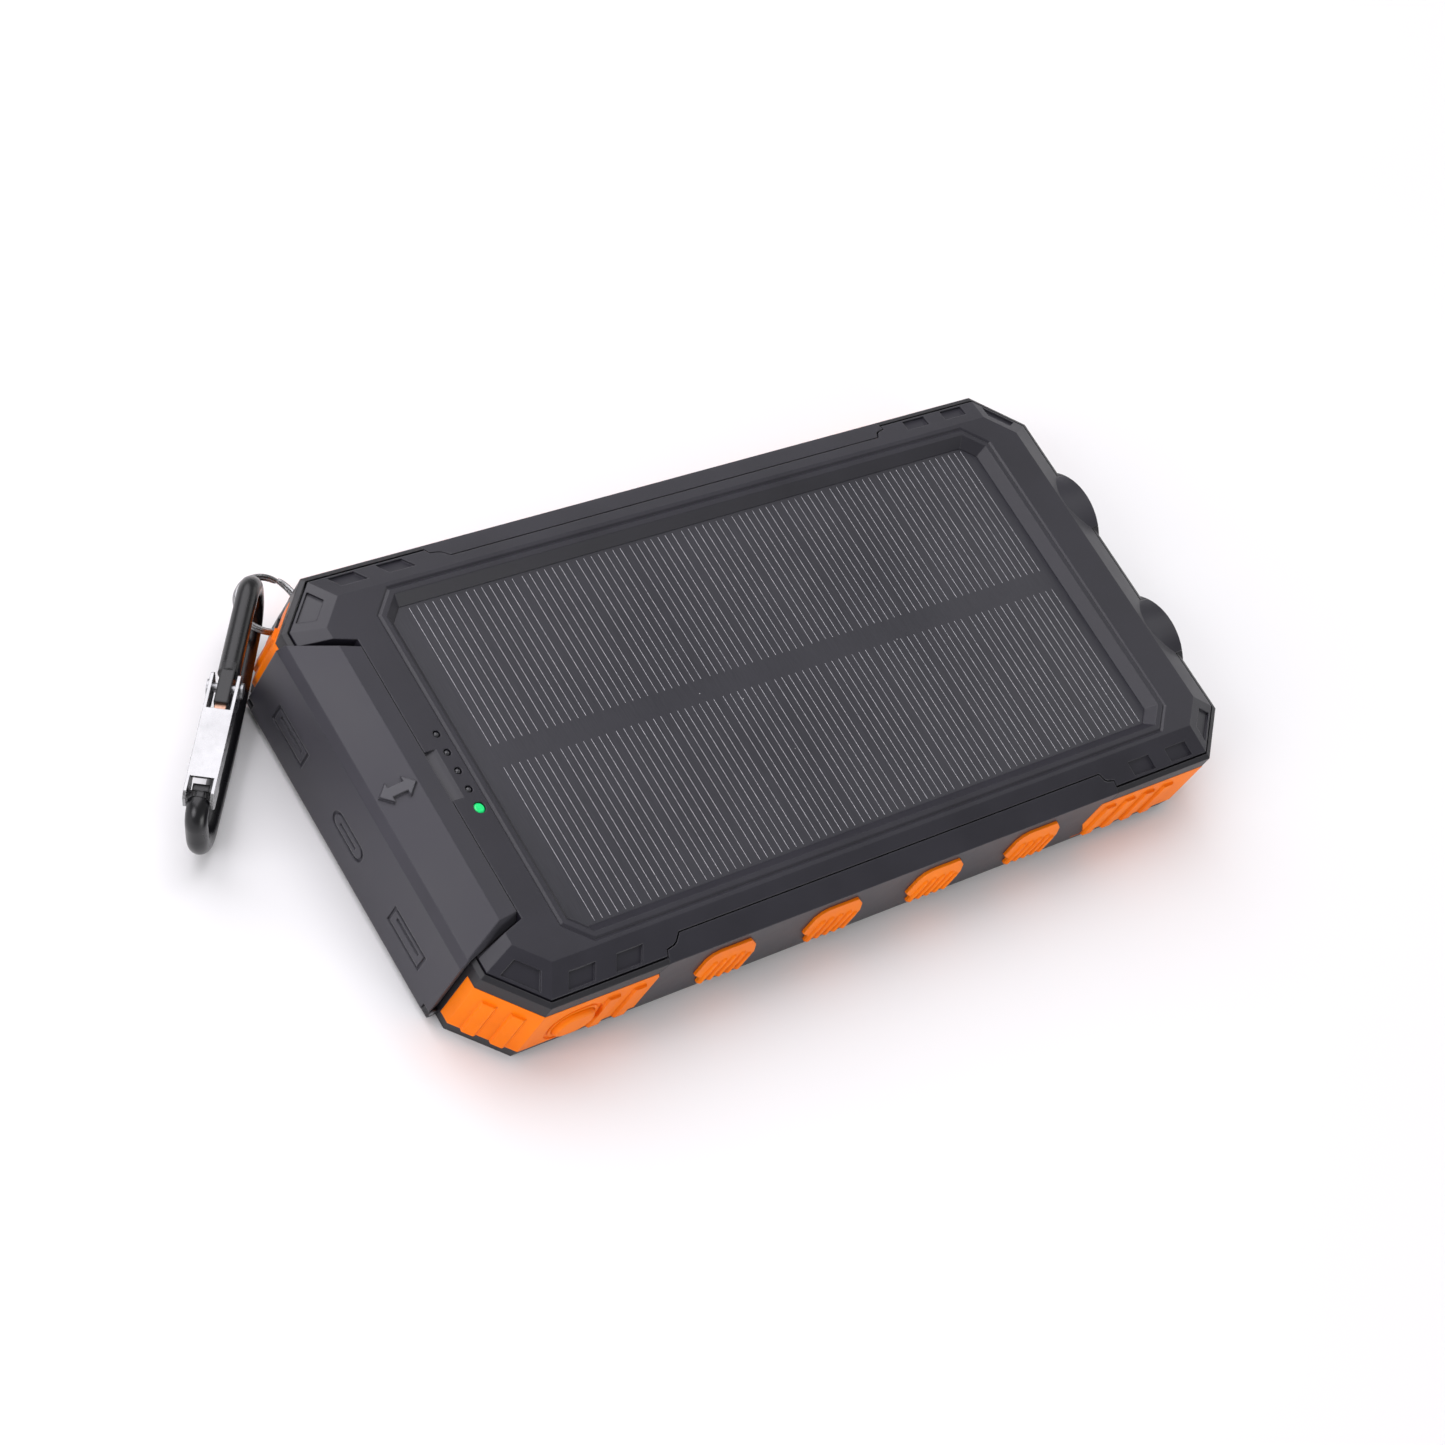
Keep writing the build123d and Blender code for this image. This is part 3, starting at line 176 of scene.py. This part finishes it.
def soft_edges(tree, radius):
    """Rounded edge normal, and how near a sharp edge the surface is."""
    rounded = add_node(tree, "Bevel", {"Radius": radius}, samples=6).outputs["Normal"]
    true_normal = add_node(tree, "NewGeometry").outputs["Normal"]
    alike = add_node(tree, "VectorMath", {0: rounded, 1: true_normal}, operation="DOT_PRODUCT")
    nearness = ranged(tree, alike.outputs["Value"], 1.0, 0.88, 0.0, 1.0)
    return rounded, nearness


def dust_specks(tree, coords, cells, kept):
    """Sparse tiny specks: a dot in a few cells of a scattered pattern."""
    cell = add_node(tree, "TexVoronoi", {"Vector": coords, "Scale": cells, "Randomness": 1.0})
    dot = ranged(tree, cell.outputs["Distance"], 0.030, 0.018, 0.0, 1.0)
    chance = add_node(tree, "SeparateColor", {"Color": cell.outputs["Color"]}).outputs["Red"]
    chosen = add_node(tree, "Math", {0: chance, 1: kept}, operation="LESS_THAN").outputs[0]
    speck = add_node(tree, "Math", {0: dot, 1: chosen}, operation="MULTIPLY")
    return speck.outputs[0]


# ================================================================ materials
DUST_ON_PLASTIC = (0.42, 0.42, 0.43)
DUST_ON_PANEL = (0.55, 0.55, 0.56)


def moulded(name, color, roughness, grain, depth, edge=0.25 * MM, wear=0.2, dust=0.0,
            **sockets):
    """Moulded plastic or rubber: fine grain, uneven sheen, lighter worn edges and dust."""
    material, tree, shader = new_material(name, color, roughness, **sockets)
    coords = object_coords(tree)
    fine = noise(tree, coords, grain, 3.0, 0.6)
    cloud = noise(tree, coords, 70.0, 4.0, 0.6)
    rounded, nearness = soft_edges(tree, edge)
    darker = [0.86 * c for c in color]
    lighter = [min(1.0, 1.14 * c) for c in color]
    body = mix_color(tree, ranged(tree, cloud, 0.3, 0.7, 0.0, 1.0), darker, lighter)
    rubbed = [min(1.0, c + wear * (0.35 * max(color) + 0.05)) for c in color]
    scuff = noise(tree, coords, 420.0, 3.0, 0.7)
    worn = add_node(tree, "Math", {0: nearness, 1: ranged(tree, scuff, 0.35, 0.65, 0.25, 1.0)},
                    operation="MULTIPLY").outputs[0]
    surface = mix_color(tree, worn, body, rubbed)
    if dust:
        specks = dust_specks(tree, coords, 260.0, dust)
        surface = mix_color(tree, specks, surface, DUST_ON_PLASTIC)
    tree.links.new(surface, shader.inputs["Base Color"])
    sheen = ranged(tree, cloud, 0.3, 0.7, roughness - 0.05, roughness + 0.06)
    tree.links.new(sheen, shader.inputs["Roughness"])
    bump = add_node(tree, "Bump", {"Strength": 0.55, "Distance": depth, "Height": fine,
                                   "Normal": rounded})
    tree.links.new(bump.outputs["Normal"], shader.inputs["Normal"])
    return material


def metal(name, color, roughness, brush, **sockets):
    """Metal with drawn or brushed streaks, faint smudges and softened edges."""
    material, tree, shader = new_material(name, color, roughness, Metallic=1.0, **sockets)
    streaks = noise(tree, stretched_coords(tree, brush), 1.0, 3.0, 0.65)
    smudge = noise(tree, object_coords(tree), 130.0, 3.0, 0.6)
    dull = [0.86 * c for c in color]
    shade = mix_color(tree, ranged(tree, smudge, 0.35, 0.7, 0.0, 1.0), color, dull)
    tree.links.new(shade, shader.inputs["Base Color"])
    tree.links.new(ranged(tree, streaks, 0.3, 0.7, 0.75 * roughness, 1.35 * roughness),
                   shader.inputs["Roughness"])
    rounded, _ = soft_edges(tree, 0.1 * MM)
    bump = add_node(tree, "Bump", {"Strength": 0.25, "Distance": 0.004 * MM, "Height": streaks,
                                   "Normal": rounded})
    tree.links.new(bump.outputs["Normal"], shader.inputs["Normal"])
    return material


def clear(name, color, roughness, **sockets):
    """Glass or clear plastic with faint smudges."""
    material, tree, shader = new_material(name, color, roughness, IOR=1.49, **sockets)
    smudge = noise(tree, object_coords(tree), 260.0, 3.0, 0.6)
    tree.links.new(ranged(tree, smudge, 0.35, 0.75, roughness, roughness + 0.12),
                   shader.inputs["Roughness"])
    ripple = add_node(tree, "Bump", {"Strength": 0.15, "Distance": 0.01 * MM, "Height": smudge})
    tree.links.new(ripple.outputs["Normal"], shader.inputs["Normal"])
    return material


def laminate(name):
    """Solar film: dark blue-grey cells under a finely textured clear layer, with dust."""
    color = (0.0125, 0.0118, 0.0180)
    drawn_color = (0.022, 0.0215, 0.029)
    cloud_color = (0.026, 0.025, 0.034)
    material, tree, shader = new_material(name, color, 0.36, Coat_Weight=0.25, Coat_Roughness=0.3)
    coords = object_coords(tree)
    drawn = noise(tree, stretched_coords(tree, (5200.0, 260.0, 1.0)), 1.0, 2.0, 0.6)
    cloud = noise(tree, coords, 45.0, 3.0, 0.5)
    cells = mix_color(tree, ranged(tree, drawn, 0.3, 0.7, 0.0, 1.0), color, drawn_color)
    cells = mix_color(tree, ranged(tree, cloud, 0.35, 0.75, 0.0, 0.35), cells, cloud_color)
    specks = dust_specks(tree, coords, 300.0, 0.10)
    tree.links.new(mix_color(tree, specks, cells, DUST_ON_PANEL), shader.inputs["Base Color"])
    tree.links.new(ranged(tree, cloud, 0.3, 0.7, 0.32, 0.42), shader.inputs["Roughness"])
    emboss = noise(tree, coords, 5200.0, 2.0, 0.5)
    bump = add_node(tree, "Bump", {"Strength": 0.5, "Distance": 0.006 * MM, "Height": emboss})
    tree.links.new(bump.outputs["Normal"], shader.inputs["Normal"])
    return material


def collector(name):
    """Printed silver collector line, slightly beaded along its length."""
    color = (0.40, 0.40, 0.43)
    material, tree, shader = new_material(name, color, 0.42, Metallic=0.35)
    beads = noise(tree, stretched_coords(tree, (300.0, 2600.0, 300.0)), 1.0, 2.0, 0.6)
    shade = mix_color(tree, ranged(tree, beads, 0.35, 0.62, 0.0, 1.0),
                      (0.34, 0.34, 0.37), (0.70, 0.70, 0.74))
    tree.links.new(shade, shader.inputs["Base Color"])
    return material


def lit(name, color, strength):
    """Lit lens: coloured, with brighter grains in its frosting."""
    material, tree, shader = new_material(name, color, 0.25, Emission_Strength=strength)
    frost = noise(tree, object_coords(tree), 2400.0, 2.0, 0.5)
    brighter = [min(1.0, 1.6 * c) for c in color]
    glow = mix_color(tree, ranged(tree, frost, 0.35, 0.65, 0.0, 1.0), color, brighter)
    tree.links.new(glow, shader.inputs["Emission Color"])
    return material


def board(name):
    """Circuit board: green solder mask with tracks and a fine weave."""
    color = (0.012, 0.085, 0.035)
    other_color = (0.014, 0.10, 0.04)
    track_color = (0.03, 0.16, 0.06)
    material, tree, shader = new_material(name, color, 0.38, Coat_Weight=0.3)
    coords = object_coords(tree)
    tracks = add_node(
        tree, "TexBrick",
        {"Vector": coords, "Scale": 330.0, "Mortar Size": 0.06, "Color1": rgba(color),
         "Color2": rgba(other_color), "Mortar": rgba(track_color)},
    )
    tree.links.new(tracks.outputs["Color"], shader.inputs["Base Color"])
    bump = add_node(tree, "Bump", {"Strength": 0.3, "Distance": 0.01 * MM,
                                   "Height": noise(tree, coords, 3000.0)})
    tree.links.new(bump.outputs["Normal"], shader.inputs["Normal"])
    return material


def foam(name):
    """Open grey foam, with painted shade in its pore pits."""
    color = (0.10, 0.10, 0.105)
    material, tree, shader = new_material(name, color, 0.9)
    cell = add_node(tree, "TexVoronoi", {"Vector": object_coords(tree), "Scale": 1500.0})
    pores = cell.outputs["Distance"]
    # painted shade: the colour is darker towards each pore's centre, where the bump below sinks a
    # pit
    tree.links.new(mix_color(tree, pores, (0.05, 0.05, 0.052), (0.15, 0.15, 0.155)),
                   shader.inputs["Base Color"])
    bump = add_node(tree, "Bump", {"Strength": 0.8, "Distance": 0.1 * MM, "Height": pores})
    tree.links.new(bump.outputs["Normal"], shader.inputs["Normal"])
    return material


MATERIALS = {
    "shell_black": moulded("shell_plastic", (0.0085, 0.0080, 0.0110), 0.46, 5200.0, 0.02 * MM,
                           dust=0.04),
    "frame_black": moulded("frame_plastic", (0.0135, 0.0125, 0.0190), 0.42, 4800.0, 0.014 * MM,
                           dust=0.05),
    "grip_orange": moulded("orange_rubber", (1.0, 0.20, 0.0015), 0.45, 3800.0, 0.012 * MM,
                           wear=0.04, Specular_IOR_Level=0.12),
    "cover_rubber": moulded("cover_silicone", (0.0190, 0.0175, 0.0260), 0.46, 4200.0, 0.012 * MM,
                            edge=0.35 * MM, dust=0.05, Sheen_Weight=0.08),
    "solar_film": laminate("solar_laminate_film"),
    "board_green": board("circuit_board"),
    "light_pipe": clear("smoked_light_pipe", (0.05, 0.05, 0.055), 0.12, Transmission_Weight=0.25),
    "power_light": lit("green_light", (0.006, 0.50, 0.13), 0.4),
    "steel": metal("satin_steel", (0.34, 0.34, 0.35), 0.33, (300.0, 3000.0, 3000.0)),
    "bright_steel": metal("plated_steel", (0.34, 0.34, 0.345), 0.26, (900.0, 900.0, 2600.0)),
    "chip_black": moulded("chip_resin", (0.018, 0.018, 0.019), 0.55, 6000.0, 0.01 * MM),
    "capacitor_can": metal("can_aluminium", (0.70, 0.71, 0.72), 0.25, (2600.0, 2600.0, 300.0)),
    "cell_foil": metal("cell_foil_aluminium", (0.64, 0.65, 0.67), 0.34, (500.0, 500.0, 500.0)),
    "foam_grey": foam("grey_foam"),
    "lead_red": moulded("lead_insulation", (0.42, 0.018, 0.014), 0.4, 4000.0, 0.01 * MM),
    "bezel_black": moulded("bezel_plastic", (0.009, 0.009, 0.011), 0.24, 5200.0, 0.006 * MM),
    "reflector_chrome": metal("reflector_coating", (0.88, 0.88, 0.90), 0.06,
                              (700.0, 700.0, 700.0)),
    "lens_clear": clear("torch_lens_plastic", (0.95, 0.96, 0.97), 0.03, Transmission_Weight=1.0),
    "anodised_black": moulded("black_anodising", (0.004, 0.004, 0.005), 0.27, 3000.0, 0.004 * MM,
                              edge=0.5 * MM, wear=0.05, Specular_IOR_Level=0.4),
    "pusher_copper": metal("pusher_copper", (0.42, 0.25, 0.18), 0.33, (2600.0, 700.0, 700.0)),
}


def dress_cad_nodes():
    """Gives each CAD node the material of its slot."""
    for part in frame["record"]["subparts"]:
        piece = NODES[part["node"]]
        piece.data.materials.clear()
        piece.data.materials.append(MATERIALS[part["material_slot"]])


# ================================================================ pieces
def mesh_piece(name, vertices, faces, material, body):
    """A new mesh that rides on a body and takes the material it is given."""
    mesh = bpy.data.meshes.new(name)
    mesh.from_pydata(vertices, [], faces)
    mesh.update()
    mesh.materials.append(material)
    piece = bpy.data.objects.new(name, mesh)
    bpy.context.scene.collection.objects.link(piece)
    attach(piece, body)
    return piece


def smooth(piece):
    for face in piece.data.polygons:
        face.use_smooth = True


def solar_lines():
    """Printed lines in eleven groups of seven, broken by the plain middle band."""
    low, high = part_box("solar_laminate")
    crown = high.z + LINE_RAISE
    foot = high.z - LINE_RAISE
    half = LINE_WIDTH / 2
    sides = [(0, 1, 5, 4), (1, 2, 6, 5), (2, 3, 7, 6), (3, 0, 4, 7), (4, 5, 6, 7), (3, 2, 1, 0)]
    vertices = []
    faces = []
    spans = ((low.y + LINE_MARGIN, BAND_LOW), (BAND_HIGH, high.y - LINE_MARGIN))
    for group in range(LINE_GROUPS):
        for line in range(LINES_IN_GROUP):
            x = low.x + FIRST_LINE + group * GROUP_PITCH + line * LINE_PITCH
            for y0, y1 in spans:
                base = len(vertices)
                for z, reach in ((foot, half), (crown, LINE_CROWN * half)):
                    vertices += [(x - reach, y0, z), (x + reach, y0, z), (x + reach, y1, z),
                                 (x - reach, y1, z)]
                faces += [tuple(base + corner for corner in side) for side in sides]
    return mesh_piece("solar_lines", vertices, faces, collector("collector_silver"), "root")


def tube_mesh(points, radius, sides):
    """Vertices and faces of a round wire along points, closed at both ends."""
    vertices = []
    faces = []
    count = len(points)
    for index, point in enumerate(points):
        ahead = points[min(index + 1, count - 1)]
        behind = points[max(index - 1, 0)]
        tangent = (ahead - behind).normalized()
        side = tangent.cross(Vector((0, 0, 1))).normalized()
        up = side.cross(tangent)
        end = radius if 0 < index < count - 1 else 0.7 * radius
        for step in range(sides):
            angle = 2 * math.pi * step / sides
            vertices.append(point + end * (math.cos(angle) * side + math.sin(angle) * up))
    for index in range(count - 1):
        for step in range(sides):
            nxt = (step + 1) % sides
            a, b = index * sides, (index + 1) * sides
            faces.append((a + step, a + nxt, b + nxt, b + step))
    faces.append(tuple(range(sides - 1, -1, -1)))
    faces.append(tuple((count - 1) * sides + step for step in range(sides)))
    return vertices, faces


def split_ring_coil():
    """The split ring as one wire wound two turns, its ends lying on the coil."""
    low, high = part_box("split_ring")
    centre = (low + high) / 2
    wire = (high.z - low.z) / 2 / STACKED_WIRES
    radius = (high.x - low.x) / 2 - wire
    rise = high.z - low.z - 2 * wire
    steps = int(RING_STEPS * RING_TURNS)
    points = []
    for step in range(steps + 1):
        turn = step / steps * RING_TURNS
        angle = 2 * math.pi * (turn + RING_START)
        # each turn lies flat and crosses over to the next within a short stretch
        within = min(1.0, max(0.0, (turn - CROSSING_START) / CROSSING_LENGTH))
        height = -rise / 2 + rise * (3 * within ** 2 - 2 * within ** 3)
        offset = Vector((radius * math.cos(angle), radius * math.sin(angle), height))
        points.append(centre + offset)
    vertices, faces = tube_mesh(points, COIL_WIRE_SCALE * wire, WIRE_SIDES)
    ring = mesh_piece("split_ring_coil", vertices, faces, MATERIALS["bright_steel"], "ring")
    smooth(ring)
    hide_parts("split_ring")
    return ring


def arrow_cap():
    """Thin, glossier skin on the raised double arrow of the port cover's band."""
    low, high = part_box("port_cover")
    run = Vector(ARROW_SLOPE).normalized()
    across = Vector((0, 1, 0))
    up = run.cross(across)
    centre = Vector((low.x + ARROW_FROM_FACE, 0, high.z - ARROW_BELOW_TOP))
    half = [(-ARROW_TIP, 0.0), (-ARROW_NECK, -ARROW_HEAD_HALF), (-ARROW_NECK, -ARROW_STEM_HALF),
            (ARROW_NECK, -ARROW_STEM_HALF), (ARROW_NECK, -ARROW_HEAD_HALF), (ARROW_TIP, 0.0)]
    outline = half + [(x, -y) for x, y in reversed(half[1:-1])]
    vertices = []
    for lift, scale in ((ARROW_FOOT, ARROW_FOOT_SCALE), (ARROW_CROWN, ARROW_CROWN_SCALE)):
        for x, y in outline:
            vertices.append(centre + scale * x * run + scale * y * across + lift * up)
    count = len(outline)
    faces = [tuple(range(count, 2 * count)), tuple(range(count - 1, -1, -1))]
    for step in range(count):
        nxt = (step + 1) % count
        faces.append((step, nxt, count + nxt, count + step))
    skin = moulded("arrow_skin", (0.034, 0.033, 0.041), 0.34, 4200.0, 0.008 * MM)
    return mesh_piece("cover_arrow", vertices, faces, skin, "cover")


dress_cad_nodes()
solar_lines()
arrow_cap()
split_ring_coil()


# ================================================================ stage, lights and camera
def stage_floor():
    """Pale floor with a faint, broad unevenness in its tone."""
    mesh = bpy.data.meshes.new("floor")
    around = ((-1, -1), (1, -1), (1, 1), (-1, 1))
    corners = [(x * FLOOR_HALF_SIDE, y * FLOOR_HALF_SIDE, -FLOOR_BELOW) for x, y in around]
    mesh.from_pydata(corners, [], [(0, 1, 2, 3)])
    material, tree, shader = new_material("floor_white", (0.86, 0.855, 0.86), 0.55)
    grain = noise(tree, object_coords(tree), 9.0, 2.0)
    shade = mix_color(tree, grain, (0.84, 0.835, 0.84), (0.88, 0.875, 0.88))
    tree.links.new(shade, shader.inputs["Base Color"])
    mesh.materials.append(material)
    floor = bpy.data.objects.new("floor", mesh)
    bpy.context.scene.collection.objects.link(floor)


def area_light(name, place, size, energy, color=PLAIN_WHITE):
    """A square softbox aimed at the object."""
    lamp = bpy.data.lights.new(name, "AREA")
    lamp.shape = "SQUARE"
    lamp.size = size
    lamp.energy = energy
    lamp.color = color
    made = bpy.data.objects.new(name, lamp)
    made.location = place
    aim = Vector(LIGHT_TARGET) - Vector(place)
    made.rotation_euler = aim.to_track_quat("-Z", "Y").to_euler()
    bpy.context.scene.collection.objects.link(made)


def studio_lights():
    """Softboxes above and at the cover end, weak fills at the other sides, pale surroundings."""
    area_light("overhead_softbox", (-0.16, 0.58, 0.75), 1.15, 11.0, STUDIO_WHITE)
    area_light("end_softbox", (-0.85, -0.05, 0.45), 0.5, 4.2, STUDIO_WHITE)
    area_light("torch_end_fill", (0.9, 0.1, 0.4), 0.5, 1.0)
    area_light("low_front_fill", (0.25, -0.95, 0.22), 0.5, 3.4)
    world = bpy.data.worlds.new("studio")
    world.use_nodes = True
    background = world.node_tree.nodes["Background"]
    background.inputs["Color"].default_value = rgba(PLAIN_WHITE)
    background.inputs["Strength"].default_value = WORLD_STRENGTH
    bpy.context.scene.world = world


def photo_camera():
    """Camera at the picture's place, rolled as it is there."""
    lens = bpy.data.cameras.new("photo_camera")
    lens.lens = LENS
    lens.sensor_width = SENSOR
    lens.clip_start = 0.01
    camera = bpy.data.objects.new("photo_camera", lens)
    back = CAMERA_RIGHT.cross(CAMERA_UP).normalized()
    right = CAMERA_UP.cross(back).normalized()
    up = back.cross(right)
    turn = Matrix((right, up, back)).transposed().to_4x4()
    camera.matrix_world = Matrix.Translation(CAMERA_PLACE) @ turn
    bpy.context.scene.collection.objects.link(camera)
    bpy.context.scene.camera = camera


stage_floor()
studio_lights()
photo_camera()
bpy.context.scene.view_settings.view_transform = "Standard"
